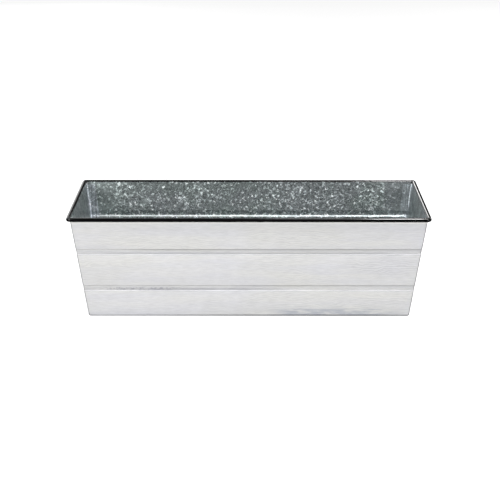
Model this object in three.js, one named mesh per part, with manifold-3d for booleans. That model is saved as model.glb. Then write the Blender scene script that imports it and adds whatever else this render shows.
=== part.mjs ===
// Window box: a tapered sheet-steel trough with pressed plank grooves and a rolled, wired rim.
// Millimetres, +Z up, front towards -Y, origin on the ground under the middle of the box.

import * as THREE from 'three';
import { mergeVertices } from 'three/addons/utils/BufferGeometryUtils.js';
import Module from 'manifold-3d';

const wasm = await Module();
wasm.setup();

// Overall size, measured over the rim
const overallLength = 564;
const overallWidth = 209;
const overallHeight = 173.5;

// Walls: every wall leans outwards by the same angle
const wallLean = THREE.MathUtils.degToRad(6.7);
const sheetThickness = 0.5;
const seamGap = 0.3;

// Plank pattern, measured upwards from the ground on the outer face
const lowerPlankHeight = 45.5;
const middlePlankHeight = 53.5;
const grooveHeight = 10.2;

// Grooves: a ledge on top, a flat floor and a ramp below, pressed inwards in the front panel
const frontGrooveDepth = 1.5;
const frontLedgeHeight = 1.4;
const frontRampHeight = 1.4;
const frontBendRadius = 1.5;

// The back panel's grooves are pressed outwards and start a little higher
const backGrooveDepth = 2.4;
const backGrooveRise = 2.1;
const backLedgeHeight = 5.8;
const backRampHeight = 1.2;
const backLedgeBendRadius = 4;
const backRampBendRadius = 2.4;
const backEdgeBendRadius = 1;

// Bends, laps and turned-in edges
const cornerBendRadius = 2;
const cornerLapWidth = 13;
const lapEndRelief = 1.6;
const footBendRadius = 3;
const footFlangeWidth = 12;
const footMitreGap = 0.3;
const wallTopRise = 0.8;

// Floor tray
const trayRimHeight = 10;
const traySideRelief = 1.5;
const drainHoleDiameter = 8;
const drainHoleCount = 5;
const drainHoleSpacing = 95;

// Rolled rim and the wire inside it
const rimDiameter = 6.6;
const rimSheetThickness = 0.5;
const rimLipAngle = THREE.MathUtils.degToRad(15);
const rimMitreGap = 0.4;
const wireJointGap = 0.4;

// Facets on the round stretches
const grooveBendSteps = 2;
const footBendSteps = 5;
const cornerBendSteps = 4;
const rimSectionSteps = 28;
const rimCornerSteps = 4;
const wireSides = 16;
const drainHoleSides = 24;

// Values that follow from the sizes above
const rimRadius = rimDiameter / 2;
const rimBoreRadius = rimRadius - rimSheetThickness;
const rimHeight = overallHeight - rimRadius;
const wallToRimAxis = rimBoreRadius - seamGap - sheetThickness;
const rimCornerRadius = wallToRimAxis + cornerBendRadius;
const rimAxisX = overallLength / 2 - rimRadius;
const rimAxisY = overallWidth / 2 - rimRadius;
const wallX = rimAxisX - wallToRimAxis;
const wallY = rimAxisY - wallToRimAxis;
const lapOffset = sheetThickness + seamGap;
const leanSlope = Math.tan(wallLean);
const footX = wallX - rimHeight * leanSlope;
const footY = wallY - rimHeight * leanSlope;

const materials = {
  paintedSteel: new THREE.MeshStandardMaterial({ color: 0xdbdbda, roughness: 0.6, metalness: 0.0 }),
  zincSteel: new THREE.MeshStandardMaterial({ color: 0x8b9496, roughness: 0.4, metalness: 0.9 }),
  blackSteel: new THREE.MeshStandardMaterial({ color: 0x0b0b0d, roughness: 0.25, metalness: 0.2 }),
  wireSteel: new THREE.MeshStandardMaterial({ color: 0x9a9c9e, roughness: 0.35, metalness: 0.9 }),
};

// Profiles: points { x, y, name }, x measured inwards from the wall plane at rim height, y upwards

function bendCorners(points) {
  const path = [];
  points.forEach((point, index) => {
    if (!point.radius) {
      path.push({ x: point.x, y: point.y, name: point.name });
      return;
    }
    const corner = new THREE.Vector2(point.x, point.y);
    const before = new THREE.Vector2(points[index - 1].x, points[index - 1].y).sub(corner).normalize();
    const after = new THREE.Vector2(points[index + 1].x, points[index + 1].y).sub(corner).normalize();
    const halfAngle = Math.acos(before.dot(after)) / 2;
    const toCentre = before.clone().add(after).normalize();
    const centre = corner.clone().addScaledVector(toCentre, point.radius / Math.sin(halfAngle));
    const start = corner.clone().addScaledVector(before, point.radius / Math.tan(halfAngle));
    const spoke = start.clone().sub(centre);
    const turn = Math.PI - 2 * halfAngle;
    const side = Math.sign(before.cross(after));
    for (let step = 0; step <= point.steps; step += 1) {
      const angle = -side * turn * step / point.steps;
      const place = spoke.clone().rotateAround(new THREE.Vector2(), angle).add(centre);
      path.push({ x: place.x, y: place.y, name: point.name });
    }
  });
  return path;
}

function offsetProfile(path, distance) {
  return path.map((point, index) => {
    const here = new THREE.Vector2(point.x, point.y);
    const previous = path[Math.max(index - 1, 0)];
    const next = path[Math.min(index + 1, path.length - 1)];
    const arriving = here.clone().sub(new THREE.Vector2(previous.x, previous.y)).normalize();
    const leaving = new THREE.Vector2(next.x, next.y).sub(here).normalize();
    if (index === 0) arriving.copy(leaving);
    if (index === path.length - 1) leaving.copy(arriving);
    const along = arriving.clone().add(leaving).normalize();
    const reach = distance / along.dot(leaving);
    return { x: here.x - along.y * reach, y: here.y + along.x * reach, name: point.name };
  });
}

function leanAt(height) {
  return (rimHeight - height) * leanSlope;
}

function grooveCorners(bottomHeight, groove) {
  const topHeight = bottomHeight + grooveHeight;
  const corners = [
    { height: topHeight, depth: 0, radius: groove.ledgeRadius },
    { height: topHeight - groove.ledgeHeight, depth: groove.depth, radius: groove.ledgeRadius },
    { height: bottomHeight + groove.rampHeight, depth: groove.depth, radius: groove.rampRadius },
    { height: bottomHeight, depth: 0, radius: groove.edgeRadius },
  ];
  return corners.map(({ height, depth, radius }) => ({
    x: leanAt(height) + depth,
    y: height,
    radius,
    steps: grooveBendSteps,
    name: 'groove',
  }));
}

function wallProfile(groove) {
  const lowerGroove = lowerPlankHeight + groove.rise;
  const upperGroove = lowerGroove + grooveHeight + middlePlankHeight;
  const topHeight = rimHeight + wallTopRise;
  const lapTop = rimHeight - rimRadius + seamGap;
  const lapBottom = footBendRadius + lapEndRelief;
  return bendCorners([
    { x: leanAt(topHeight), y: topHeight, name: 'top' },
    { x: leanAt(lapTop), y: lapTop, name: 'lapTop' },
    ...grooveCorners(upperGroove, groove),
    ...grooveCorners(lowerGroove, groove),
    { x: leanAt(lapBottom), y: lapBottom, name: 'lapBottom' },
    { x: leanAt(0), y: 0, radius: footBendRadius, steps: footBendSteps, name: 'foot' },
    { x: leanAt(0) + footBendRadius + footFlangeWidth, y: 0, name: 'footEdge' },
  ]);
}

// The end panels are plain: each half has the heights of the grooves beside it, laid flat
function flattened(profile) {
  return profile.map((point) => (
    point.name === 'groove' ? { ...point, x: leanAt(point.y) } : point
  ));
}

const frontProfile = wallProfile({
  depth: frontGrooveDepth,
  rise: 0,
  ledgeHeight: frontLedgeHeight,
  rampHeight: frontRampHeight,
  ledgeRadius: frontBendRadius,
  rampRadius: frontBendRadius,
  edgeRadius: frontBendRadius,
});
const backProfile = wallProfile({
  depth: -backGrooveDepth,
  rise: backGrooveRise,
  ledgeHeight: backLedgeHeight,
  rampHeight: backRampHeight,
  ledgeRadius: backLedgeBendRadius,
  rampRadius: backRampBendRadius,
  edgeRadius: backEdgeBendRadius,
});

// Solids

function geometryFrom(triangles) {
  const positions = new Float32Array(triangles.flatMap((point) => [point.x, point.y, point.z]));
  const geometry = new THREE.BufferGeometry();
  geometry.setAttribute('position', new THREE.BufferAttribute(positions, 3));
  geometry.computeVertexNormals();
  return geometry;
}

function pushQuad(triangles, a, b, c, d) {
  triangles.push(a, b, c, a, c, d);
}

// A sheet between two grids of points; cells that are not present leave the outline of the blank
function sheetSolid(outer, inner, present) {
  const triangles = [];
  const columns = outer.length - 1;
  const rows = outer[0].length - 1;
  const filled = (i, j) => i >= 0 && j >= 0 && i < columns && j < rows && present(i, j);
  for (let i = 0; i < columns; i += 1) {
    for (let j = 0; j < rows; j += 1) {
      if (!filled(i, j)) continue;
      pushQuad(triangles, outer[i][j], outer[i][j + 1], outer[i + 1][j + 1], outer[i + 1][j]);
      pushQuad(triangles, inner[i][j], inner[i + 1][j], inner[i + 1][j + 1], inner[i][j + 1]);
      if (!filled(i - 1, j)) pushQuad(triangles, outer[i][j], inner[i][j], inner[i][j + 1], outer[i][j + 1]);
      if (!filled(i + 1, j)) {
        pushQuad(triangles, outer[i + 1][j], outer[i + 1][j + 1], inner[i + 1][j + 1], inner[i + 1][j]);
      }
      if (!filled(i, j - 1)) pushQuad(triangles, outer[i][j], outer[i + 1][j], inner[i + 1][j], inner[i][j]);
      if (!filled(i, j + 1)) {
        pushQuad(triangles, outer[i][j + 1], inner[i][j + 1], inner[i + 1][j + 1], outer[i + 1][j + 1]);
      }
    }
  }
  return geometryFrom(triangles);
}

// A section of { across, up } points carried through stations, each a function that places one point
function sweptSolid(section, stations) {
  const triangles = [];
  const rings = stations.map((place) => section.map(place));
  const count = section.length;
  for (let k = 0; k + 1 < rings.length; k += 1) {
    for (let i = 0; i < count; i += 1) {
      const j = (i + 1) % count;
      pushQuad(triangles, rings[k][i], rings[k][j], rings[k + 1][j], rings[k + 1][i]);
    }
  }
  const contour = section.map((point) => new THREE.Vector2(point.across, point.up));
  const first = rings[0];
  const last = rings[rings.length - 1];
  THREE.ShapeUtils.triangulateShape(contour, []).forEach(([a, b, c]) => {
    triangles.push(first[a], first[c], first[b]);
    triangles.push(last[a], last[b], last[c]);
  });
  return geometryFrom(triangles);
}

function toManifold(geometry) {
  const bare = geometry.clone();
  bare.deleteAttribute('normal');
  bare.deleteAttribute('uv');
  const merged = mergeVertices(bare);
  return new wasm.Manifold(new wasm.Mesh({
    numProp: 3,
    vertProperties: new Float32Array(merged.attributes.position.array),
    triVerts: new Uint32Array(merged.index.array),
  }));
}

function toGeometry(manifold) {
  const mesh = manifold.getMesh();
  const geometry = new THREE.BufferGeometry();
  geometry.setAttribute('position', new THREE.BufferAttribute(new Float32Array(mesh.vertProperties), 3));
  geometry.setIndex(new THREE.BufferAttribute(new Uint32Array(mesh.triVerts), 1));
  const flat = geometry.toNonIndexed();
  flat.computeVertexNormals();
  return flat;
}

const boxGroup = new THREE.Group();

function addPiece(name, geometry, material) {
  const mesh = new THREE.Mesh(geometry, material);
  mesh.name = name;
  boxGroup.add(mesh);
  return mesh;
}

// Front and back panels: the profile run from end to end, its foot mitred at both ends

function longPanelHalfLength(point) {
  const cornerLimit = wallX - leanAt(point.y) - cornerBendRadius;
  const mitreLimit = footX + leanAt(0) - point.x - footMitreGap;
  return Math.min(cornerLimit, mitreLimit);
}

function longPanel(profile) {
  const column = (path, side) => path.map((point) => new THREE.Vector3(
    side * longPanelHalfLength(point),
    point.x - wallY,
    point.y,
  ));
  const inside = offsetProfile(profile, sheetThickness);
  return sheetSolid(
    [column(profile, -1), column(profile, 1)],
    [column(inside, -1), column(inside, 1)],
    () => true,
  );
}

addPiece('front_panel', longPanel(frontProfile), materials.paintedSteel);
addPiece('back_panel', longPanel(backProfile), materials.paintedSteel).rotation.z = Math.PI;

// End panels: a web with its foot, and two laps that lie inside the front and back panels

function webHalfWidth(point) {
  const cornerLimit = wallY - leanAt(point.y) - lapOffset - cornerBendRadius;
  const mitreLimit = footY + leanAt(0) - point.x - footMitreGap;
  return Math.min(cornerLimit, mitreLimit);
}

// The columns of one half, from the edge of its lap, round the bend, to the edge of the web
function endPanelHalf(webPath, lapPath, bendRadius) {
  const lapEdge = webPath.map((web, row) => new THREE.Vector3(
    wallX - web.x - bendRadius - cornerLapWidth,
    lapPath[row].x - wallY,
    lapPath[row].y,
  ));
  const bend = Array.from({ length: cornerBendSteps }, (unused, step) => {
    const share = step / cornerBendSteps;
    const angle = share * Math.PI / 2;
    return webPath.map((web, row) => new THREE.Vector3(
      wallX - web.x - bendRadius + bendRadius * Math.sin(angle),
      lapPath[row].x - wallY + bendRadius - bendRadius * Math.cos(angle),
      THREE.MathUtils.lerp(lapPath[row].y, web.y, share),
    ));
  });
  const webEdge = webPath.map((web, row) => {
    const turned = web.name === 'foot' || web.name === 'footEdge';
    const y = turned ? -webHalfWidth(web) : lapPath[row].x - wallY + bendRadius;
    return new THREE.Vector3(wallX - web.x, y, web.y);
  });
  return [lapEdge, ...bend, webEdge];
}

function mirroredColumns(columns, mirror) {
  return columns.map((column) => column.map((point) => point.clone().multiply(mirror))).reverse();
}

function endPanelSurface(depth) {
  const half = (profile) => endPanelHalf(
    offsetProfile(flattened(profile), depth),
    offsetProfile(profile, lapOffset + depth),
    cornerBendRadius - depth,
  );
  return [...half(frontProfile), ...mirroredColumns(half(backProfile), new THREE.Vector3(1, -1, 1))];
}

function endPanel(isLeft) {
  const surfaces = [endPanelSurface(0), endPanelSurface(sheetThickness)];
  const [outer, inner] = surfaces.map((surface) => (
    isLeft ? mirroredColumns(surface, new THREE.Vector3(-1, 1, 1)) : surface
  ));
  const lapTopRow = frontProfile.findIndex((point) => point.name === 'lapTop');
  const lapBottomRow = frontProfile.findIndex((point) => point.name === 'lapBottom');
  const webColumn = cornerBendSteps + 1;
  return sheetSolid(outer, inner, (column, row) => (
    column === webColumn || (row >= lapTopRow && row < lapBottomRow)
  ));
}

addPiece('right_end_panel', endPanel(false), materials.paintedSteel);
addPiece('left_end_panel', endPanel(true), materials.paintedSteel);

// Floor: a tray with four turned-up rims, nested in the turned-in feet of the walls

function trayEdge(offset) {
  const path = bendCorners([
    { x: leanAt(trayRimHeight), y: trayRimHeight },
    { x: leanAt(0), y: 0, radius: footBendRadius, steps: footBendSteps },
    { x: leanAt(0) + footBendRadius + footFlangeWidth, y: 0 },
  ]);
  return offsetProfile(path, offset).slice(0, -1);
}

function trayLines(edge, wallPlace, rimHalfWidth) {
  const half = edge.map((point) => ({ place: wallPlace - point.x, height: point.y }));
  half.push({ place: rimHalfWidth, height: edge[edge.length - 1].y });
  const mirrored = half.map((line) => ({ place: -line.place, height: line.height }));
  return [...mirrored, ...half.reverse()];
}

function traySurface(offset) {
  const edge = trayEdge(offset);
  const floorHeight = edge[edge.length - 1].y;
  const rimHalfLength = footX - cornerBendRadius - cornerLapWidth - traySideRelief;
  const rimHalfWidth = footY - lapOffset - cornerBendRadius - traySideRelief;
  const across = trayLines(edge, wallX, rimHalfLength);
  const along = trayLines(edge, wallY, rimHalfWidth);
  return across.map((column) => along.map((row) => (
    new THREE.Vector3(column.place, row.place, column.height + row.height - floorHeight)
  )));
}

function floorTray() {
  const under = traySurface(lapOffset);
  const upper = traySurface(lapOffset + sheetThickness);
  const last = under.length - 2;
  const middle = last / 2;
  const onFloor = (index) => Math.abs(index - middle) <= 1;
  const tray = toManifold(sheetSolid(under, upper, (column, row) => (
    column === middle || row === middle || (onFloor(column) && onFloor(row))
  )));
  const firstHole = -drainHoleSpacing * (drainHoleCount - 1) / 2;
  const holes = Array.from({ length: drainHoleCount }, (unused, index) => {
    const punch = new THREE.CylinderGeometry(
      drainHoleDiameter / 2, drainHoleDiameter / 2, 4 * lapOffset, drainHoleSides,
    );
    punch.rotateX(Math.PI / 2);
    punch.translate(firstHole + index * drainHoleSpacing, 0, lapOffset);
    return toManifold(punch);
  });
  return toGeometry(holes.reduce((solid, hole) => solid.subtract(hole), tray));
}

addPiece('floor_tray', floorTray(), materials.zincSteel);

// Rim: four rolled rails, open along the wall, that meet in a mitre half-way round each corner

function rimSection() {
  const innerEnd = Math.PI - rimLipAngle;
  const outerEnd = -Math.PI / 2 - Math.asin((wallToRimAxis - seamGap) / rimRadius);
  const angles = Array.from({ length: rimSectionSteps + 1 }, (unused, step) => (
    THREE.MathUtils.lerp(outerEnd, innerEnd, step / rimSectionSteps)
  ));
  const arc = (radius) => angles.map((angle) => (
    { across: radius * Math.cos(angle), up: radius * Math.sin(angle) }
  ));
  return [...arc(rimRadius), ...arc(rimBoreRadius).reverse()];
}

function railStation(straightEnd, side, share) {
  return ({ across, up }) => {
    const radius = rimCornerRadius + across;
    const angle = share * (Math.PI / 4 - Math.asin(rimMitreGap / 2 / radius));
    return new THREE.Vector3(
      side * (straightEnd + radius * Math.sin(angle)),
      rimCornerRadius - radius * Math.cos(angle),
      up,
    );
  };
}

function rimRail(axisReach) {
  const straightEnd = axisReach - rimCornerRadius;
  const shares = Array.from({ length: rimCornerSteps + 1 }, (unused, step) => step / rimCornerSteps);
  const right = shares.map((share) => railStation(straightEnd, 1, share));
  const left = shares.map((share) => railStation(straightEnd, -1, share));
  return sweptSolid(rimSection(), [...right.reverse(), ...left]);
}

function addRail(name, axisReach, turn, distance) {
  const rail = addPiece(name, rimRail(axisReach), materials.blackSteel);
  rail.rotation.z = turn;
  rail.position.set(distance * Math.sin(turn), -distance * Math.cos(turn), rimHeight);
}

addRail('rim_front', rimAxisX, 0, rimAxisY);
addRail('rim_right', rimAxisY, Math.PI / 2, rimAxisX);
addRail('rim_back', rimAxisX, Math.PI, rimAxisY);
addRail('rim_left', rimAxisY, -Math.PI / 2, rimAxisX);

// Wire: one length bent round inside the rails, butted in the middle of the back

function rimWire() {
  const wireRadius = (rimBoreRadius + wallToRimAxis) / 2 - seamGap;
  const outwards = rimBoreRadius - seamGap - wireRadius;
  const bendRadius = rimCornerRadius + outwards;
  const centreX = rimAxisX - rimCornerRadius;
  const centreY = rimAxisY - rimCornerRadius;
  const section = Array.from({ length: wireSides }, (unused, side) => {
    const angle = side * 2 * Math.PI / wireSides;
    return { across: wireRadius * Math.cos(angle), up: wireRadius * Math.sin(angle) };
  });
  const station = (x, y, angle) => ({ across, up }) => new THREE.Vector3(
    x + (bendRadius + across) * Math.cos(angle),
    y + (bendRadius + across) * Math.sin(angle),
    rimHeight + up,
  );
  const corners = [[1, 1], [1, -1], [-1, -1], [-1, 1]];
  const stations = [station(wireJointGap / 2, centreY, Math.PI / 2)];
  corners.forEach(([sideX, sideY], corner) => {
    for (let step = 0; step <= 2 * rimCornerSteps; step += 1) {
      const angle = Math.PI / 2 * (1 - corner - step / (2 * rimCornerSteps));
      stations.push(station(sideX * centreX, sideY * centreY, angle));
    }
  });
  stations.push(station(-wireJointGap / 2, centreY, Math.PI / 2));
  return sweptSolid(section, stations);
}

addPiece('rim_wire', rimWire(), materials.wireSteel);

export default boxGroup;
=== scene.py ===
# Window box in its studio: finer sheets, rails, wire and tray stand for the CAD nodes.
# Lengths on the box are in millimetres, as in the CAD source, and its meshes are in metres.
# The studio, the lights and the camera are in metres.

import math

import bmesh
import bpy
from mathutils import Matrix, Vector


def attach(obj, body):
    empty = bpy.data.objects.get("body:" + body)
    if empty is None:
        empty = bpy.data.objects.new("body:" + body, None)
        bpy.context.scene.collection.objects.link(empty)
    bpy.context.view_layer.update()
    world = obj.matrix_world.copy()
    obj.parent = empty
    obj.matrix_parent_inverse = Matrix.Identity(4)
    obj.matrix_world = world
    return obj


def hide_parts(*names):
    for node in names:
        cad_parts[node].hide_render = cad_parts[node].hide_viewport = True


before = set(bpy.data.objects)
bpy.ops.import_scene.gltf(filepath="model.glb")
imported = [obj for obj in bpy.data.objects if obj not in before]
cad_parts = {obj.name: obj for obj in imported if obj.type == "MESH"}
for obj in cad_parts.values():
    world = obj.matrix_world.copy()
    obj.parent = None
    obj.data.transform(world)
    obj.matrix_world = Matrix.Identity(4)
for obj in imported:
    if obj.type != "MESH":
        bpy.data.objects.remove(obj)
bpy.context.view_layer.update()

MM = 0.001

# Sizes of the CAD source
OVERALL_LENGTH = 564.0
OVERALL_WIDTH = 209.0
OVERALL_HEIGHT = 173.5
WALL_LEAN = math.radians(6.7)
SHEET = 0.5
SEAM_GAP = 0.3
LOWER_PLANK = 45.5
MIDDLE_PLANK = 53.5
GROOVE_HEIGHT = 10.2
FRONT_DEPTH = 1.5
FRONT_LEDGE = 1.4
FRONT_RAMP = 1.4
FRONT_BEND = 1.5
BACK_DEPTH = 2.4
BACK_RISE = 2.1
BACK_LEDGE = 5.8
BACK_RAMP = 1.2
BACK_LEDGE_BEND = 4.0
BACK_RAMP_BEND = 2.4
BACK_EDGE_BEND = 1.0
CORNER_BEND = 2.0
LAP_WIDTH = 13.0
LAP_END_RELIEF = 1.6
FOOT_BEND = 3.0
FOOT_FLANGE = 12.0
FOOT_MITRE_GAP = 0.3
WALL_TOP_RISE = 0.8
TRAY_RIM = 10.0
TRAY_SIDE_RELIEF = 1.5
DRAIN_DIAMETER = 8.0
DRAIN_COUNT = 5
DRAIN_SPACING = 95.0
RIM_DIAMETER = 6.6
RIM_SHEET = 0.5
RIM_LIP = math.radians(15)
RIM_MITRE_GAP = 0.4
WIRE_JOINT_GAP = 0.4

# Finer facets than the CAD has
GROOVE_STEPS = 6
FOOT_STEPS = 12
CORNER_STEPS = 10
RIM_STEPS = 72
RIM_CORNER_STEPS = 12
WIRE_SIDES = 32
DRAIN_SIDES = 48
LONG_COLUMNS = 40

SHARP_ANGLE = math.radians(38)
MERGE_DISTANCE = 1e-7  # metres

# Values that follow
RIM_RADIUS = RIM_DIAMETER / 2
RIM_BORE = RIM_RADIUS - RIM_SHEET
RIM_HEIGHT = OVERALL_HEIGHT - RIM_RADIUS
WALL_TO_AXIS = RIM_BORE - SEAM_GAP - SHEET
RIM_CORNER = WALL_TO_AXIS + CORNER_BEND
AXIS_X = OVERALL_LENGTH / 2 - RIM_RADIUS
AXIS_Y = OVERALL_WIDTH / 2 - RIM_RADIUS
WALL_X = AXIS_X - WALL_TO_AXIS
WALL_Y = AXIS_Y - WALL_TO_AXIS
LAP_OFFSET = SHEET + SEAM_GAP
SLOPE = math.tan(WALL_LEAN)
FOOT_X = WALL_X - RIM_HEIGHT * SLOPE
FOOT_Y = WALL_Y - RIM_HEIGHT * SLOPE


def groove_bottoms(rise):
    lower = LOWER_PLANK + rise
    return lower, lower + GROOVE_HEIGHT + MIDDLE_PLANK


FRONT_GROOVES = groove_bottoms(0.0)
BACK_GROOVES = groove_bottoms(BACK_RISE)


def lerp(a, b, share):
    return a + (b - a) * share


def steps(count):
    """The shares from 0 to 1 in count equal steps."""
    return [k / count for k in range(count + 1)]


# Profiles: (x inwards from the wall plane at rim height, height, name)


def bend_corners(points):
    """Round each corner that has a radius. Points are (x, height, radius, steps, name)."""
    path = []
    for index, (x, y, radius, count, name) in enumerate(points):
        if not radius:
            path.append((x, y, name))
            continue
        corner = Vector((x, y))
        before = (Vector(points[index - 1][:2]) - corner).normalized()
        after = (Vector(points[index + 1][:2]) - corner).normalized()
        half = math.acos(max(-1.0, min(1.0, before.dot(after)))) / 2
        centre = corner + (before + after).normalized() * (radius / math.sin(half))
        spoke = corner + before * (radius / math.tan(half)) - centre
        turn = math.pi - 2 * half
        side = math.copysign(1.0, before.x * after.y - before.y * after.x)
        for share in steps(count):
            angle = -side * turn * share
            cos, sin = math.cos(angle), math.sin(angle)
            path.append((
                centre.x + spoke.x * cos - spoke.y * sin,
                centre.y + spoke.x * sin + spoke.y * cos,
                name,
            ))
    return path


def offset_profile(path, distance):
    """The path moved sideways, inwards on a wall and upwards on its foot."""
    moved = []
    for index, (x, y, name) in enumerate(path):
        here = Vector((x, y))
        previous = Vector(path[max(index - 1, 0)][:2])
        following = Vector(path[min(index + 1, len(path) - 1)][:2])
        arriving = (here - previous) if index else (following - here)
        leaving = (following - here) if index < len(path) - 1 else arriving
        arriving, leaving = arriving.normalized(), leaving.normalized()
        along = (arriving + leaving).normalized()
        reach = distance / along.dot(leaving)
        moved.append((x - along.y * reach, y + along.x * reach, name))
    return moved


def lean_at(height):
    """How far inwards a wall has come at a height, from where it is at the rim."""
    return (RIM_HEIGHT - height) * SLOPE


def groove_corners(bottom, depth, ledge, ramp, ledge_bend, ramp_bend, edge_bend):
    top = bottom + GROOVE_HEIGHT
    corners = (
        (top, 0.0, ledge_bend), (top - ledge, depth, ledge_bend),
        (bottom + ramp, depth, ramp_bend), (bottom, 0.0, edge_bend),
    )
    return [(lean_at(h) + d, h, bend, GROOVE_STEPS, "groove") for h, d, bend in corners]


FOOT_CORNERS = (
    (lean_at(0), 0.0, FOOT_BEND, FOOT_STEPS, "foot"),
    (lean_at(0) + FOOT_BEND + FOOT_FLANGE, 0.0, 0, 0, "foot_edge"),
)


def wall_profile(grooves, *groove):
    lower, upper = grooves
    top = RIM_HEIGHT + WALL_TOP_RISE
    lap_top = RIM_HEIGHT - RIM_RADIUS + SEAM_GAP
    lap_bottom = FOOT_BEND + LAP_END_RELIEF
    return bend_corners([
        (lean_at(top), top, 0, 0, "top"),
        (lean_at(lap_top), lap_top, 0, 0, "lap_top"),
        *groove_corners(upper, *groove),
        *groove_corners(lower, *groove),
        (lean_at(lap_bottom), lap_bottom, 0, 0, "lap_bottom"),
        *FOOT_CORNERS,
    ])


def flattened(path):
    """The profile of the ends, which have no grooves, point for point."""
    return [(lean_at(y), y, name) if name == "groove" else (x, y, name) for x, y, name in path]


FRONT_PROFILE = wall_profile(
    FRONT_GROOVES, FRONT_DEPTH, FRONT_LEDGE, FRONT_RAMP, FRONT_BEND, FRONT_BEND, FRONT_BEND,
)
BACK_PROFILE = wall_profile(
    BACK_GROOVES, -BACK_DEPTH, BACK_LEDGE, BACK_RAMP,
    BACK_LEDGE_BEND, BACK_RAMP_BEND, BACK_EDGE_BEND,
)


# Meshes


def link(name, data):
    thing = bpy.data.objects.new(name, data)
    bpy.context.scene.collection.objects.link(thing)
    return thing


def make_piece(name, vertices, faces, face_materials, materials):
    """A smooth mesh with sharp creases, from millimetres."""
    mesh = bpy.data.meshes.new(name)
    mesh.from_pydata([Vector(v) * MM for v in vertices], [], faces)
    for material in materials:
        mesh.materials.append(material)
    mesh.polygons.foreach_set("material_index", face_materials)
    shape = bmesh.new()
    shape.from_mesh(mesh)
    bmesh.ops.remove_doubles(shape, verts=shape.verts, dist=MERGE_DISTANCE)
    bmesh.ops.recalc_face_normals(shape, faces=shape.faces)
    shape.to_mesh(mesh)
    shape.free()
    mesh.polygons.foreach_set("use_smooth", [True] * len(mesh.polygons))
    mesh.set_sharp_from_angle(angle=SHARP_ANGLE)
    return link(name, mesh)


OUTSIDE, INSIDE, CUT_EDGE = 0, 1, 2


def sheet_mesh(outer, inner, present=lambda i, j: True):
    """Vertices, faces and face materials of a sheet between two grids of points."""
    columns, rows = len(outer) - 1, len(outer[0]) - 1
    vertices = [p for column in outer for p in column] + [p for column in inner for p in column]
    shift = (columns + 1) * (rows + 1)

    def at(i, j):
        return i * (rows + 1) + j

    def filled(i, j):
        return 0 <= i < columns and 0 <= j < rows and present(i, j)

    faces, kinds = [], []
    for i in range(columns):
        for j in range(rows):
            if not filled(i, j):
                continue
            a, b, c, d = at(i, j), at(i, j + 1), at(i + 1, j + 1), at(i + 1, j)
            faces += [(a, b, c, d), (a + shift, d + shift, c + shift, b + shift)]
            kinds += [OUTSIDE, INSIDE]
            for neighbour, (p, q) in (
                ((i - 1, j), (b, a)),
                ((i + 1, j), (d, c)),
                ((i, j - 1), (a, d)),
                ((i, j + 1), (c, b)),
            ):
                if not filled(*neighbour):
                    faces.append((p, q, q + shift, p + shift))
                    kinds.append(CUT_EDGE)
    return vertices, faces, kinds


def swept_piece(name, section, stations, material):
    """A section carried through stations, closed at both ends. A station places a point."""
    vertices = [station(point) for station in stations for point in section]
    count = len(section)
    last = (len(stations) - 1) * count
    faces = []
    for base in range(0, last, count):
        for i in range(count):
            j = (i + 1) % count
            faces.append((base + i, base + j, base + count + j, base + count + i))
    faces.append(tuple(reversed(range(count))))
    faces.append(tuple(range(last, last + count)))
    return make_piece(name, vertices, faces, [0] * len(faces), [material])


# Materials. Places are in millimetres, noise scales are per metre, colours are linear.

PAINT_COOL, PAINT_WARM = (0.776, 0.778, 0.795), (0.816, 0.8145, 0.804)
WASH_COOL, WASH_WARM = (0.98, 0.98, 1.0), (1.0, 0.998, 0.983)
GRAIN_GREY = (0.42, 0.42, 0.44)
FOOTWARD_GREY = (0.42, 0.44, 0.47)
LOW_RIGHT_BLUE = (0.40, 0.43, 0.50)
CORNER_SHADE_GREY = (0.26, 0.26, 0.29)
FOOT_SHADE_BLACK = (0.05, 0.05, 0.08)
UNDER_RIM_LIGHT_WHITE = (0.98, 0.98, 0.94)
GROOVE_WASH_AND_SHADE_GREY = (0.404, 0.406, 0.424)
LEDGE_LIGHT_WHITE = (0.99, 0.99, 0.985)
DASH_GREY = (0.38, 0.38, 0.42)
SPANGLE_TINTS = (0.90, 0.98, 1.005), (0.88, 1.0, 0.985)
ROLLED_TINTS = (0.90, 0.98, 1.025), (0.88, 1.0, 1.005)
LAP_LIGHT_TINT = (1.10, 1.04, 1.12)

# How noise is stretched along x, y and z
FINE_GRAIN, WIDE_GRAIN = (70, 70, 430), (5, 5, 60)
PATCHES, GRAIN_SWAY = (7, 7, 14), (14, 14, 30)
LOW_PATCH_STRETCH, GROOVE_BREAKUP_STRETCH, BRUSH_DASH = (26, 26, 240), (13, 13, 60), (190, 190, 260)
ROLLING_LINES = (420, 90, 12)
NOISE_LOW, NOISE_HIGH = 0.3, 0.7  # most of a noise lies between these

BOARD_SHIFT = 3.7  # metres between the places where two planks take their grain
RING_PITCH = 1.15  # radians per millimetre of height
RING_SWAY = 30.0
RING_SHARPNESS = 5.0
HEART_STRETCH = (1, 0, 3)
HEART_PLACE = (0.215, 0.0, 0.275)  # metres, stretched
HEART_CORE, HEART_REACH = 0.03, 0.09

WARP_SCALE, WARP_REACH = 300.0, 0.007
LARGE_CELLS, SMALL_CELLS, LEAF_CELLS = 340.0, 600.0, 250.0
LEAF_TURNS = (0.7, -0.5)
LEAF_STRETCH = (1.0, 1.0, 2.3)
FROST_SCALE, CROWD_SCALE, CLOUD_SCALE = 900.0, 26.0, 16.0
FLAKE_GLOW, RARE_GLOW = 2.2, 4.6
HIGHLIGHT_LEVEL, CALM_LEVEL = 1.25, 1.12
LARGE_TILT, SMALL_TILT = 0.07, 0.12
ZINC_METALLIC = 0.85


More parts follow.
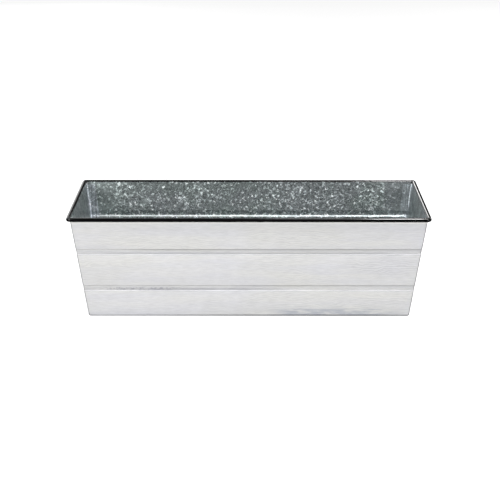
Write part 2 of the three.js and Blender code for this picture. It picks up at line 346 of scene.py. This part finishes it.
class Nodes:
    """A short way to write a node tree: a call adds nodes and returns the last one's output."""

    def __init__(self, name):
        self.material = bpy.data.materials.new(name)
        self.material.use_nodes = True
        self.tree = self.material.node_tree
        self.shader = next(n for n in self.tree.nodes if n.type == "BSDF_PRINCIPLED")
        self.still = self.add("ShaderNodeTexCoord", {}, output="Object")

    def add(self, kind, inputs, output=0, **settings):
        node = self.tree.nodes.new(kind)
        for key, value in settings.items():
            setattr(node, key, value)
        for key, value in inputs.items():
            self.put(node.inputs[key], value)
        return node.outputs[output]

    def put(self, socket, value):
        if isinstance(value, bpy.types.NodeSocket):
            self.tree.links.new(value, socket)
        else:
            socket.default_value = value

    def set(self, **values):
        for key, value in values.items():
            self.put(self.shader.inputs[key.replace("_", " ")], value)

    # Numbers

    def math(self, operation, a, b=0.0, clamp=False):
        return self.add("ShaderNodeMath", {0: a, 1: b}, operation=operation, use_clamp=clamp)

    def plus(self, first, *others):
        for other in others:
            first = self.math("ADD", first, other)
        return first

    def minus(self, a, b):
        return self.math("SUBTRACT", a, b)

    def times(self, first, *others):
        for other in others:
            first = self.math("MULTIPLY", first, other)
        return first

    def absolute(self, value):
        return self.math("ABSOLUTE", value)

    def swing(self, value, amount):
        """A noise's or cell's value as so much above or below zero."""
        return self.times(self.minus(value, 0.5), amount)

    def towards(self, value, target, share):
        return self.plus(value, self.times(share, self.minus(target, value)))

    def span(self, value, low, high, to_low=0.0, to_high=1.0, smooth=True):
        kind = "SMOOTHSTEP" if smooth else "LINEAR"
        return self.add("ShaderNodeMapRange", {
            0: value, 1: low, 2: high, 3: to_low, 4: to_high,
        }, interpolation_type=kind)

    def noise_span(self, noise, to_low=0.0, to_high=1.0, smooth=True):
        return self.span(noise, NOISE_LOW, NOISE_HIGH, to_low, to_high, smooth)

    def between(self, value, rise, fall):
        """1 between two edges, each given by where it starts and ends."""
        return self.times(self.span(value, *rise), self.span(value, *fall, 1.0, 0.0))

    def near(self, value, centre, core, reach, peak=1.0):
        """peak round a centre, and 0 beyond its reach."""
        return self.span(self.absolute(self.minus(value, centre)), core, reach, peak, 0.0)

    def parts(self, kind, value):
        return tuple(self.add(kind, {0: value}).node.outputs)

    # Places and patterns

    def vector(self, operation, a, b=(0, 0, 0), output=0):
        return self.add("ShaderNodeVectorMath", {0: a, 1: b}, output, operation=operation)

    def stretched(self, factors, vector=None):
        return self.vector("MULTIPLY", vector or self.still, factors)

    def millimetres(self):
        return self.parts("ShaderNodeSeparateXYZ", self.stretched((1 / MM,) * 3))

    def off_centre(self, colour, amount):
        """A colour's channels as a vector round zero."""
        centred = self.vector("SUBTRACT", colour, (0.5,) * 3)
        return self.add("ShaderNodeVectorMath", {0: centred, "Scale": amount}, operation="SCALE")

    def noise(self, vector, scale=1.0, detail=2.0, roughness=0.5, output=0):
        return self.add("ShaderNodeTexNoise", {
            "Vector": vector, "Scale": scale, "Detail": detail, "Roughness": roughness,
        }, output)

    def cells(self, vector, scale, **settings):
        inputs = {"Vector": vector, "Scale": scale}
        return self.add("ShaderNodeTexVoronoi", inputs, "Color", feature="F1", **settings)

    # Colours

    def mix(self, share, a, b, blend="MIX"):
        out = self.add("ShaderNodeMix", {}, 2, data_type="RGBA", blend_type=blend)
        self.put(out.node.inputs[0], share)
        for index, colour in ((6, a), (7, b)):
            given = isinstance(colour, bpy.types.NodeSocket)
            self.put(out.node.inputs[index], colour if given else (*colour, 1))
        return out

    def tinted(self, colour, tint):
        return self.mix(1.0, colour, tint, "MULTIPLY")

    def grey(self, value):
        return self.add("ShaderNodeCombineColor", {0: value, 1: value, 2: value})

    def bump(self, height, strength, distance, normal=None):
        inputs = {"Height": height, "Strength": strength, "Distance": distance}
        if normal is not None:
            inputs["Normal"] = normal
        return self.add("ShaderNodeBump", inputs)


def from_walls(n, x, y, z):
    """Places along the length and across it, as if the leaning walls stood upright."""
    lean = n.times(n.minus(RIM_HEIGHT, z), SLOPE)
    return n.plus(n.absolute(x), lean), n.plus(n.absolute(y), lean)


def across(n, x, left, right):
    """A value that changes from the box's left half to its right half."""
    return n.span(x, -100, 100, left, right)


def whitewash(name, washed_shaded_grooves):
    """Chalky paint with a faint wood grain, and painted shade and light. Grey wash and painted
    shade lie in the front's grooves.
    """
    n = Nodes(name)
    x, y, z = n.millimetres()
    beside, before = from_walls(n, x, y, z)
    middles = [bottom + GROOVE_HEIGHT / 2 for bottom in FRONT_GROOVES]
    plank = n.plus(*[n.math("GREATER_THAN", z, middle) for middle in middles])
    shift = n.add("ShaderNodeCombineXYZ", {0: n.times(plank, BOARD_SHIFT)})
    board = n.vector("ADD", n.still, shift)  # each plank takes its grain from its own place

    fine = n.noise(n.stretched(FINE_GRAIN, board), detail=5.0, roughness=0.70)
    wide = n.noise(n.stretched(WIDE_GRAIN, board), detail=3.0)
    patch = n.noise(n.stretched(PATCHES, board))
    sway = n.noise(n.stretched(GRAIN_SWAY, board), detail=3.0, roughness=0.55)
    low_patch = n.noise(n.stretched(LOW_PATCH_STRETCH, board), detail=4.0, roughness=0.65)

    wave = n.plus(n.times(z, RING_PITCH), n.times(sway, RING_SWAY))
    ring = n.math("POWER", n.absolute(n.math("SINE", wave)), RING_SHARPNESS)
    from_heart = n.vector("DISTANCE", n.stretched(HEART_STRETCH), HEART_PLACE, output=1)
    heart = n.span(from_heart, HEART_CORE, HEART_REACH, 1.0, 0.0)
    rings = n.times(ring, n.math("MAXIMUM", n.times(n.span(patch, 0.42, 0.60), 0.5), heart))

    colour = n.mix(n.span(wide, 0.32, 0.68), PAINT_COOL, PAINT_WARM)
    colour = n.tinted(colour, n.mix(n.span(patch, 0.35, 0.65), WASH_COOL, WASH_WARM))
    colour = n.tinted(colour, n.grey(n.noise_span(fine, 0.90, 1.06, smooth=False)))
    marks = (
        # Growth rings
        (GRAIN_GREY, (rings, 0.38)),
        # Greyer towards the foot
        (FOOTWARD_GREY, (n.span(z, 1, 16, 1.0, 0.0), n.span(wide, 0.2, 0.7, 0.7, 1.0), 0.15)),
        # A bluish, blotchy darkening low at the right
        (LOW_RIGHT_BLUE, (
            n.between(x, (20, 80), (190, 260)), n.span(z, 6, 30, 1.0, 0.0),
            n.span(low_patch, 0.35, 0.6), n.span(z, 11, 16, 0.78, 0.24),
        )),
        # Painted shade: thin dark lines on the corner bends where the long panels meet the ends
        (CORNER_SHADE_GREY, (
            n.span(beside, WALL_X - 2.2, WALL_X - 0.8),
            n.span(before, WALL_Y - 4.0, WALL_Y - 2.0), 0.60,
        )),
        # Painted shade on the foot's bend where it turns under, strongest right of the middle
        (FOOT_SHADE_BLACK, (
            n.span(z, 0.8, 4.4, 1.0, 0.0), n.span(x, -220, 80, 0.33, 1.0),
            n.span(x, 180, 250, 1.0, 0.6),
        )),
        # Painted light just under the rim, which takes out the rim's shadow
        (UNDER_RIM_LIGHT_WHITE, (n.span(z, 162.5, 164.5), 0.85)),
    )
    for mark, shares in marks:
        colour = n.mix(n.times(*shares), colour, mark)
    if washed_shaded_grooves:
        colour = groove_wash_and_shade(n, colour, x, z)

    n.set(
        Base_Color=colour,
        Roughness=n.noise_span(wide, 0.5, 0.66),
        Specular_IOR_Level=0.3,
        Normal=n.bump(n.plus(fine, n.times(rings, -0.5)), strength=0.25, distance=0.0004),
    )
    return n.material


def groove_wash_and_shade(n, colour, x, z):
    """Grey in the front grooves, partly wash and partly painted shade, the lit ramps painted
    darker; then painted light on the ledges towards the left, and dark dashes.
    """
    lower, upper = FRONT_GROOVES
    start = n.span(x, -240, -190, 0.3, 1.0)  # the creases begin faintly at the left
    # Each groove, how high its crease lies, and how its marks fade along the box
    grooves = (
        (upper, 2.3, {
            "ramp": n.span(x, 180, 240, 0.64, 0.95),
            "crease": n.span(x, 190, 230, 1.0, 0.2),
            "ledge": n.span(x, -220, -100, 0.04, 0.24),
            "floor": 0.22,
            "ledge_light": n.span(x, -215, -160, 0.85, 0.0),
        }),
        (lower, 2.9, {
            "ramp": n.span(x, -40, 100, 0.64, 1.0),
            "crease": n.span(x, -20, 80, 1.0, 0.15),
            "ledge": n.span(x, -100, 0, 0.0, 0.09),
            "floor": n.span(x, -40, 100, 0.25, 0.02),
            "ledge_light": n.span(x, -40, 20, 0.75, 0.0),
        }),
    )
    deep, lit_ledges = [], []
    for bottom, crease_rise, shares in grooves:
        top = bottom + GROOVE_HEIGHT
        bands = {
            "ramp": n.between(z, (bottom - 1.0, bottom - 0.2), (bottom + 1.4, bottom + 2.2)),
            "crease": n.times(n.near(z, bottom + crease_rise, 0.8, 1.9, peak=1.03), start),
            "ledge": n.near(z, top - FRONT_LEDGE - 0.6, 0.5, 1.6),
            "floor": n.between(z, (bottom - 1.2, bottom - 0.2), (top - 1.6, top - 0.4)),
            "ledge_light": n.between(z, (top - 2.8, top - 1.8), (top - 0.2, top + 0.6)),
        }
        marks = {key: n.times(band, shares[key]) for key, band in bands.items()}
        lit_ledges.append(marks.pop("ledge_light"))
        deep += marks.values()

    # The grooves' grey is partly wash and partly painted shade: on the ledges, the floors below
    # them and the creases, and over the lit ramps
    groove_breakup = n.noise(n.stretched(GROOVE_BREAKUP_STRETCH), detail=3.0, roughness=0.6)
    wash_and_shade = n.math("MULTIPLY", n.plus(*deep), n.span(groove_breakup, 0.3, 0.62, 0.6, 1.0), clamp=True)
    colour = n.mix(n.times(wash_and_shade, 0.74), colour, GROOVE_WASH_AND_SHADE_GREY)
    # Painted light on the ledges towards the left, which takes out their shade
    for share in lit_ledges:
        colour = n.mix(share, colour, LEDGE_LIGHT_WHITE)

    top = lower + GROOVE_HEIGHT
    strokes = n.noise(n.stretched(BRUSH_DASH), roughness=0.6)
    dash = n.times(
        n.span(strokes, 0.47, 0.57),
        n.between(z, (lower + 0.4, lower + 1.6), (top - 5.0, top - 3.2)),
        n.span(x, -240, -200), n.span(x, -150, -90, 0.80, 0.0),
    )
    return n.mix(dash, colour, DASH_GREY)


def galvanised(name, flakes, tone, rolled=False):
    """Zinc coat. flakes is how strongly the crystals show. The sheet of the ends is rolled."""
    n = Nodes(name)
    x, y, z = n.millimetres()
    warp = n.noise(n.still, WARP_SCALE, detail=3.0, roughness=0.6, output="Color")
    bent = n.vector("ADD", n.still, n.off_centre(warp, WARP_REACH))
    large = n.cells(bent, LARGE_CELLS, distance="CHEBYCHEV")
    small = n.cells(bent, SMALL_CELLS)
    large_ground, large_flake, large_rare = n.parts("ShaderNodeSeparateColor", large)
    small_ground, small_flake, small_rough = n.parts("ShaderNodeSeparateColor", small)
    frost = n.noise(bent, FROST_SCALE, roughness=0.6)
    crowd = n.noise(n.still, CROWD_SCALE)
    cloud = n.noise(n.still, CLOUD_SCALE)

    # The ground varies with all patterns, and the highest few cells and leaves are bright flakes
    ground = n.plus(n.swing(frost, 2.7), n.swing(small_ground, 0.85), n.swing(large_ground, 0.20))
    flake = n.plus(large_flake, n.swing(small_flake, 0.40), n.swing(crowd, 0.10))
    bright = [n.span(flake, 0.95, 0.985)]
    for turn in LEAF_TURNS:
        inputs = {"Vector": bent, "Angle": turn}
        turned = n.add("ShaderNodeVectorRotate", inputs, rotation_type="Y_AXIS")
        leaves = n.cells(n.stretched(LEAF_STRETCH, turned), LEAF_CELLS)
        leaf = n.plus(n.parts("ShaderNodeSeparateColor", leaves)[0], n.swing(crowd, 0.22))
        bright.append(n.span(leaf, 0.935, 0.96))
    level = n.plus(
        1.0,
        n.times(ground, flakes),
        n.times(n.plus(*bright), n.span(frost, 0.38, 0.50), FLAKE_GLOW * flakes),
        n.times(
            n.span(large_rare, 0.945, 0.965), n.span(frost, 0.40, 0.52), RARE_GLOW * flakes ** 2,
        ),
    )

    # Painted light: the inside is lighter low down and, on the long walls, towards the ends, where
    # the lamps reach it less
    low_down = n.span(z, 120, 150, 1.0, 0.0)
    painted_lift = n.plus(1.0, n.times(low_down, 0.30))
    if rolled:
        level, on_lap = rolling_lines_and_painted_light(n, level, x, y, z)
    else:
        level = groove_highlights_and_calm(n, level, x, z)
        ends = n.plus(n.span(n.absolute(x), 200, 255, 0.0, 0.48), n.span(x, -262, -205, 0.45, 0.0))
        painted_lift = n.plus(painted_lift, n.times(ends, n.plus(low_down, 0.30)))
    tints = ROLLED_TINTS if rolled else SPANGLE_TINTS
    colour = n.tinted(n.grey(n.times(level, painted_lift, tone)), n.mix(n.span(cloud, 0.4, 0.6), *tints))
    # Painted light on the lap, tinted lavender, stronger towards the left
    if rolled:
        share = n.times(on_lap, across(n, x, 0.7, 0.0))
        colour = n.mix(share, colour, n.tinted(colour, LAP_LIGHT_TINT))

    # Each crystal's face is tilted a little its own way
    normal = n.add("ShaderNodeNewGeometry", {}, output="Normal")
    tilts = n.off_centre(large, LARGE_TILT * flakes), n.off_centre(small, SMALL_TILT * flakes)
    tilt = n.vector("ADD", *tilts)
    facet = n.vector("NORMALIZE", n.vector("ADD", normal, tilt))
    n.set(
        Base_Color=colour,
        Metallic=ZINC_METALLIC,
        Roughness=n.plus(n.times(small_rough, 0.12), 0.38),
        Normal=n.bump(frost, strength=0.12, distance=0.0003, normal=facet),
    )
    return n.material


def rolling_lines_and_painted_light(n, level, x, y, z):
    """Rolling lines; painted light on the lap and a painted highlight on the bend beside it, each
    stronger at one end of the box; the ends painted darker at the left.
    """
    beside, wall = from_walls(n, x, y, z)
    run = n.noise(n.stretched(ROLLING_LINES), detail=3.0, roughness=0.6)
    on_lap = n.span(wall, WALL_Y - 6, WALL_Y - 3)
    bend = n.between(beside, (WALL_X - 3.4, WALL_X - 2.4), (WALL_X - 1.4, WALL_X - 0.6))
    level = n.times(
        level,
        n.noise_span(run, 0.45, 1.55, smooth=False),
        n.plus(1.0, n.times(on_lap, across(n, x, 1.55, 1.05))),
        n.plus(n.times(bend, across(n, x, 0.34, 0.5)), across(n, x, 0.80, 0.97)),
    )
    return level, on_lap


def groove_highlights_and_calm(n, level, x, z):
    """A painted highlight along the lower edge of each groove, stronger at the left, and calmer
    crystals near the ends.
    """
    edges = [n.between(z, (at - 0.1, at + 0.5), (at + 0.9, at + 1.6)) for at in BACK_GROOVES]
    painted_highlight = n.plus(*edges)
    level = n.towards(level, HIGHLIGHT_LEVEL, n.times(painted_highlight, 0.65))
    level = n.times(level, n.plus(1.0, n.times(painted_highlight, n.span(x, -20, 120, 3.2, 1.8))))
    return n.towards(level, CALM_LEVEL, n.span(n.absolute(x), 205, 250, 0.0, 0.5))


def worked_steel(name, stretch, dark, light, metallic, roughness, bump_strength):
    """Bare steel whose grain follows the stretch."""
    n = Nodes(name)
    grain = n.noise(n.stretched(stretch), detail=3.0)
    n.set(
        Base_Color=n.mix(n.noise_span(grain, smooth=False), dark, light),
        Metallic=metallic,
        Roughness=n.noise_span(grain, *roughness),
        Normal=n.bump(grain, strength=bump_strength, distance=0.0002),
    )
    return n.material


def black_gloss():
    """Gloss paint with a slight orange peel."""
    n = Nodes("black_rim_paint")
    peel = n.noise(n.stretched((260,) * 3))
    broad = n.noise(n.stretched((38,) * 3))
    dark, light = (0.0008, 0.0008, 0.001), (0.0018, 0.0018, 0.002)
    n.set(
        Base_Color=n.mix(n.noise_span(broad, smooth=False), dark, light),
        Roughness=n.noise_span(broad, 0.07, 0.13),
        Specular_IOR_Level=0.5,
        Normal=n.bump(peel, strength=0.10, distance=0.0004),
    )
    return n.material


PAINT = whitewash("whitewash_paint", washed_shaded_grooves=True)
PLAIN_PAINT = whitewash("whitewash_plain", washed_shaded_grooves=False)
ZINC = galvanised("spangled_zinc", flakes=1.0, tone=0.182)
SMOOTH_ZINC = galvanised("smooth_zinc", flakes=0.42, tone=0.200, rolled=True)
TRAY_ZINC = galvanised("tray_zinc", flakes=0.6, tone=0.17)
EDGE = worked_steel(
    "cut_edge_steel", stretch=(900, 900, 900), dark=(0.36, 0.37, 0.38), light=(0.55, 0.56, 0.57),
    metallic=0.85, roughness=(0.34, 0.5), bump_strength=0.15,
)
BLACK = black_gloss()
WIRE = worked_steel(
    "drawn_wire", stretch=(60, 60, 900), dark=(0.30, 0.30, 0.31), light=(0.45, 0.45, 0.46),
    metallic=0.9, roughness=(0.28, 0.42), bump_strength=0.1,
)


def stand_for(piece, node):
    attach(piece, "root")
    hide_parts(node)


# Front and back panels


def long_half_length(point):
    """Half the panel's length at a profile point, up to the corner bend or the foot's mitre."""
    corner_limit = WALL_X - lean_at(point[1]) - CORNER_BEND
    mitre_limit = FOOT_X + lean_at(0) - point[0] - FOOT_MITRE_GAP
    return min(corner_limit, mitre_limit)


def long_panel(node, profile, side, paint):
    def grid(path):
        halves = [long_half_length(p) for p in path]
        return [
            [
                (side * lerp(-half, half, share), side * (p[0] - WALL_Y), p[1])
                for p, half in zip(path, halves)
            ]
            for share in steps(LONG_COLUMNS)
        ]

    sheet = sheet_mesh(grid(profile), grid(offset_profile(profile, SHEET)))
    stand_for(make_piece(node + "_sheet", *sheet, [paint, ZINC, EDGE]), node)


long_panel("front_panel", FRONT_PROFILE, 1, PAINT)
long_panel("back_panel", BACK_PROFILE, -1, PLAIN_PAINT)


# End panels: a web with its foot, and two laps inside the front and back panels


def web_half_width(point):
    """Half the end's width at a profile point, between its laps or its foot's mitres."""
    corner_limit = WALL_Y - lean_at(point[1]) - LAP_OFFSET - CORNER_BEND
    mitre_limit = FOOT_Y + lean_at(0) - point[0] - FOOT_MITRE_GAP
    return min(corner_limit, mitre_limit)


def end_half(web_path, lap_path, radius):
    """Columns from the lap's edge round the bend to the edge of the web."""
    pairs = list(zip(web_path, lap_path))
    columns = [[
        (WALL_X - web[0] - radius - LAP_WIDTH, lap[0] - WALL_Y, lap[1]) for web, lap in pairs
    ]]
    for share in steps(CORNER_STEPS)[:-1]:
        sin, cos = math.sin(share * math.pi / 2), math.cos(share * math.pi / 2)
        columns.append([
            (
                WALL_X - web[0] - radius + radius * sin,
                lap[0] - WALL_Y + radius - radius * cos,
                lerp(lap[1], web[1], share),
            )
            for web, lap in pairs
        ])
    columns.append([
        (
            WALL_X - web[0],
            -web_half_width(web) if web[2] in ("foot", "foot_edge") else lap[0] - WALL_Y + radius,
            web[1],
        )
        for web, lap in pairs
    ])
    return columns


def end_surface(side, depth):
    """Columns of an end from the front lap to the back lap, at a depth in the sheet."""

    def half(profile):
        return end_half(
            offset_profile(flattened(profile), depth),
            offset_profile(profile, LAP_OFFSET + depth),
            CORNER_BEND - depth,
        )

    far = [[(x, -y, z) for x, y, z in column] for column in half(BACK_PROFILE)]
    columns = [*half(FRONT_PROFILE), *reversed(far)]
    return [[(side * x, y, z) for x, y, z in column] for column in columns]


def end_panel(node, side):
    names = [p[2] for p in FRONT_PROFILE]
    top, bottom, web = names.index("lap_top"), names.index("lap_bottom"), CORNER_STEPS + 1

    def present(i, j):
        return i == web or top <= j < bottom

    sheet = sheet_mesh(end_surface(side, 0.0), end_surface(side, SHEET), present)
    piece = make_piece(node + "_sheet", *sheet, [PLAIN_PAINT, SMOOTH_ZINC, EDGE])
    stand_for(piece, node)


end_panel("right_end_panel", 1)
end_panel("left_end_panel", -1)


# Floor tray


def tray_edge(offset):
    path = bend_corners([(lean_at(TRAY_RIM), TRAY_RIM, 0, 0, "top"), *FOOT_CORNERS])
    return offset_profile(path, offset)[:-1]


def tray_lines(edge, wall, rim_half):
    """Places across the tray with their heights: up one edge, over the floor, up the other."""
    half = [(wall - x, y) for x, y, _ in edge] + [(rim_half, edge[-1][1])]
    return [(-place, height) for place, height in half] + list(reversed(half))


def tray_surface(offset):
    edge = tray_edge(offset)
    floor = edge[-1][1]
    across_box = tray_lines(edge, WALL_X, FOOT_X - CORNER_BEND - LAP_WIDTH - TRAY_SIDE_RELIEF)
    along_box = tray_lines(edge, WALL_Y, FOOT_Y - LAP_OFFSET - CORNER_BEND - TRAY_SIDE_RELIEF)
    return [[(x, y, xh + yh - floor) for y, yh in along_box] for x, xh in across_box]


def drain_punch():
    """A row of round bars that cut the drain holes."""
    holes = bmesh.new()
    radius, depth = DRAIN_DIAMETER / 2 * MM, 4 * LAP_OFFSET * MM
    for k in range(DRAIN_COUNT):
        made = bmesh.ops.create_cone(
            holes, cap_ends=True, segments=DRAIN_SIDES, radius1=radius, radius2=radius, depth=depth,
        )
        place = Vector(((k - (DRAIN_COUNT - 1) / 2) * DRAIN_SPACING * MM, 0, LAP_OFFSET * MM))
        bmesh.ops.translate(holes, verts=made["verts"], vec=place)
    mesh = bpy.data.meshes.new("punch")
    holes.to_mesh(mesh)
    holes.free()
    mesh.materials.append(EDGE)
    return link("punch", mesh)


def floor_tray():
    under, upper = tray_surface(LAP_OFFSET), tray_surface(LAP_OFFSET + SHEET)
    middle = (len(under) - 2) // 2

    def near(index):
        return abs(index - middle) <= 1

    def present(i, j):
        return i == middle or j == middle or (near(i) and near(j))

    vertices, faces, kinds = sheet_mesh(under, upper, present)
    kinds = [OUTSIDE if kind == INSIDE else kind for kind in kinds]  # both faces are alike
    tray = make_piece("floor_tray_sheet", vertices, faces, kinds, [TRAY_ZINC, TRAY_ZINC, EDGE])
    punch = drain_punch()
    cut = tray.modifiers.new("drain", "BOOLEAN")
    cut.operation, cut.solver, cut.material_mode = "DIFFERENCE", "EXACT", "TRANSFER"
    cut.object = punch
    bpy.context.view_layer.update()
    drained = tray.evaluated_get(bpy.context.evaluated_depsgraph_get())
    done = bpy.data.meshes.new_from_object(drained)
    tray.modifiers.clear()
    tray.data = done
    bpy.data.objects.remove(punch)
    done.set_sharp_from_angle(angle=SHARP_ANGLE)
    stand_for(tray, "floor_tray")


floor_tray()


# Rim rails and the wire inside them


def rim_section():
    outer_end = -math.pi / 2 - math.asin((WALL_TO_AXIS - SEAM_GAP) / RIM_RADIUS)
    angles = [lerp(outer_end, math.pi - RIM_LIP, share) for share in steps(RIM_STEPS)]

    def arc(radius):
        return [(radius * math.cos(a), radius * math.sin(a)) for a in angles]

    return arc(RIM_RADIUS) + arc(RIM_BORE)[::-1]


def rim_rail(node, reach, turn, distance):
    """A rail along one side, that far from the middle, with half a mitred corner at each end."""
    straight = reach - RIM_CORNER
    cos, sin = math.cos(turn), math.sin(turn)

    def turned(x, y, up):
        return (x * cos - y * sin, x * sin + y * cos, RIM_HEIGHT + up)

    def corner_station(side, share):
        def place(point):
            radius = RIM_CORNER + point[0]
            angle = share * (math.pi / 4 - math.asin(RIM_MITRE_GAP / 2 / radius))
            x = side * (straight + radius * math.sin(angle))
            return turned(x, RIM_CORNER - radius * math.cos(angle) - distance, point[1])

        return place

    def straight_station(share):
        def place(point):
            return turned(lerp(straight, -straight, share), -point[0] - distance, point[1])

        return place

    bend = steps(RIM_CORNER_STEPS)
    stations = [
        *(corner_station(1, share) for share in reversed(bend)),
        *(straight_station(share) for share in steps(LONG_COLUMNS)[1:-1]),
        *(corner_station(-1, share) for share in bend),
    ]
    stand_for(swept_piece(node + "_rail", rim_section(), stations, BLACK), node)


rim_rail("rim_front", AXIS_X, 0.0, AXIS_Y)
rim_rail("rim_right", AXIS_Y, math.pi / 2, AXIS_X)
rim_rail("rim_back", AXIS_X, math.pi, AXIS_Y)
rim_rail("rim_left", AXIS_Y, -math.pi / 2, AXIS_X)


def rim_wire():
    """One run round the rim, butted at the middle of the back."""
    radius = (RIM_BORE + WALL_TO_AXIS) / 2 - SEAM_GAP
    bend = RIM_CORNER + RIM_BORE - SEAM_GAP - radius
    centre_x, centre_y = AXIS_X - RIM_CORNER, AXIS_Y - RIM_CORNER
    turns = [k * 2 * math.pi / WIRE_SIDES for k in range(WIRE_SIDES)]
    section = [(radius * math.cos(a), radius * math.sin(a)) for a in turns]

    def station(x, y, angle):
        return lambda p: (
            x + (bend + p[0]) * math.cos(angle),
            y + (bend + p[0]) * math.sin(angle),
            RIM_HEIGHT + p[1],
        )

    stations = [station(WIRE_JOINT_GAP / 2, centre_y, math.pi / 2)]
    for corner, (sx, sy) in enumerate(((1, 1), (1, -1), (-1, -1), (-1, 1))):
        for share in steps(2 * RIM_CORNER_STEPS):
            angle = math.pi / 2 * (1 - corner - share)
            stations.append(station(sx * centre_x, sy * centre_y, angle))
    stations.append(station(-WIRE_JOINT_GAP / 2, centre_y, math.pi / 2))
    stand_for(swept_piece("rim_wire_rod", section, stations, WIRE), "rim_wire")


rim_wire()


# Studio

FLOOR_HALF = 9.0
FLOOR_LEVEL = -0.0002
DOME_RADIUS = 8.9
DOME_SIDES = 48
DOME_LEVELS = range(-10, 90, 10)  # degrees above the floor

# Name, place, aim, width, height and radiance
LIGHTS = (
    ("overhead", (-0.2, 0.39, 0.9), (-0.2, 0.39, 0), 2.0, 0.72, 1.9),
    ("key_right", (0.47, -0.62, 1.9), (0.47, -0.62, 0), 0.85, 0.5, 4.6),
    ("spark_right", (0.455, -0.62, 1.88), (0.455, -0.62, 0), 0.19, 0.5, 66.0),
    ("low_right", (1.35, -1.95, 0.93), (0, 0, 0.1), 1.3, 0.9, 7.6),
    ("low_left", (-1.35, -1.95, 0.93), (0, 0, 0.1), 1.3, 0.9, 12.0),
    ("back_left", (-1.10, 3.0, 0.8), (-0.5, 0, 0.15), 1.05, 1.3, 1.4),
    ("back_right", (0.134, 0.9, 0.444), (0.28, 0, 0.17), 0.17, 0.19, 6.5),
    ("fill_behind_left", (-2.3, 2.3, 1.0), (0, 0, 0.1), 1.3, 0.9, 11.0),
    ("fill_behind_right", (2.3, 2.3, 1.0), (0, 0, 0.1), 1.3, 0.9, 11.0),
)
WORLD_STRENGTH = 0.05

CAMERA_PLACE = (0.0056, -1.8568, 0.7647)
CAMERA_DOWN = 20.133  # degrees below level
CAMERA_LEFT = 0.122  # degrees left of the box's depth
FOCAL_PIXELS = 1204.5
FRAME_PIXELS = 500.0
SENSOR_WIDTH = 36.0


def stage_piece(name, vertices, faces, material):
    """A floor or backdrop that the camera sees and that sends no light back to the box."""
    mesh = bpy.data.meshes.new(name)
    mesh.from_pydata(vertices, [], faces)
    mesh.materials.append(material)
    piece = link(name, mesh)
    piece.visible_diffuse = piece.visible_glossy = False
    return piece


def pale(name, grey, glow):
    n = Nodes(name)
    cloud = n.noise(n.stretched((1.3,) * 3))
    dark, light = (grey - 0.01,) * 3, (grey + 0.01,) * 3
    n.set(
        Base_Color=n.mix(n.noise_span(cloud, smooth=False), dark, light),
        Roughness=0.9,
        Specular_IOR_Level=0.1,
        Emission_Color=(1, 1, 1, 1),
        Emission_Strength=glow,
    )
    return n.material


def studio():
    corners = ((-1, -1), (1, -1), (1, 1), (-1, 1))
    floor = [(x * FLOOR_HALF, y * FLOOR_HALF, FLOOR_LEVEL) for x, y in corners]
    stage_piece("floor", floor, [(0, 1, 2, 3)], pale("pale_floor", 0.4, 0.8))

    turns = [2 * math.pi * k / DOME_SIDES for k in range(DOME_SIDES)]
    vertices = []
    for angle in map(math.radians, DOME_LEVELS):
        radius, height = DOME_RADIUS * math.cos(angle), DOME_RADIUS * math.sin(angle)
        vertices += [(radius * math.cos(a), radius * math.sin(a), height) for a in turns]
    top = (len(DOME_LEVELS) - 1) * DOME_SIDES
    faces = []
    for base in range(0, top, DOME_SIDES):
        for i in range(DOME_SIDES):
            j = (i + 1) % DOME_SIDES
            faces.append((base + i, base + j, base + DOME_SIDES + j, base + DOME_SIDES + i))
    faces.append(tuple(range(top, top + DOME_SIDES)))
    dome = stage_piece("backdrop", vertices, faces, pale("pale_backdrop", 0.1, 0.98))
    dome.visible_shadow = False


def soft_light(name, place, aim, width, height, radiance):
    data = bpy.data.lights.new(name, "AREA")
    data.shape, data.size, data.size_y = "RECTANGLE", width, height
    data.energy = radiance * math.pi * width * height
    light = link(name, data)
    light.location = place
    light.rotation_euler = (Vector(aim) - Vector(place)).to_track_quat("-Z", "Y").to_euler()
    light.visible_camera = False


def camera():
    data = bpy.data.cameras.new("photo")
    data.sensor_width = SENSOR_WIDTH
    data.lens = FOCAL_PIXELS * SENSOR_WIDTH / FRAME_PIXELS
    data.clip_end = 50.0
    view = link("photo", data)
    view.location = CAMERA_PLACE
    view.rotation_euler = (math.radians(90 - CAMERA_DOWN), 0.0, math.radians(CAMERA_LEFT))
    bpy.context.scene.camera = view


studio()
for light in LIGHTS:
    soft_light(*light)

world = bpy.data.worlds.new("studio")
world.use_nodes = True
back = world.node_tree.nodes["Background"]
back.inputs["Color"].default_value = (1, 1, 1, 1)
back.inputs["Strength"].default_value = WORLD_STRENGTH
bpy.context.scene.world = world
bpy.context.scene.view_settings.view_transform = "Standard"
camera()

bpy.context.view_layer.update()
